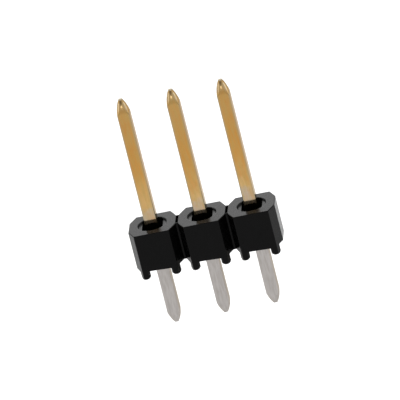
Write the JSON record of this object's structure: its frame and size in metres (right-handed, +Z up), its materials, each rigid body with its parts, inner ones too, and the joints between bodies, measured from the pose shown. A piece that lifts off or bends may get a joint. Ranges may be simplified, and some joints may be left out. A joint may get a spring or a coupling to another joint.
{
  "type": "pin header strip",
  "caption": "Straight single-row pin header with 2.54 mm spacing, gold mating posts, tin solder tails and a black moulded housing",
  "frame": {"origin": "on the axis of the middle pin, at the face of the board that the housing's feet stand on", "axes": "+X along the row, +Z up the mating posts, -Y is the front"},
  "size_m": [0.0074, 0.0024, 0.0124],
  "materials": {
    "housing_black": "fine satin moulding",
    "pin_plating": "bright gold plate on the post, matt tin on the tail"
  },
  "bodies": {
    "root": {"housing": "housing_black", "pin_left": "pin_plating", "pin_middle": "pin_plating", "pin_right": "pin_plating"}
  },
  "joints": []
}
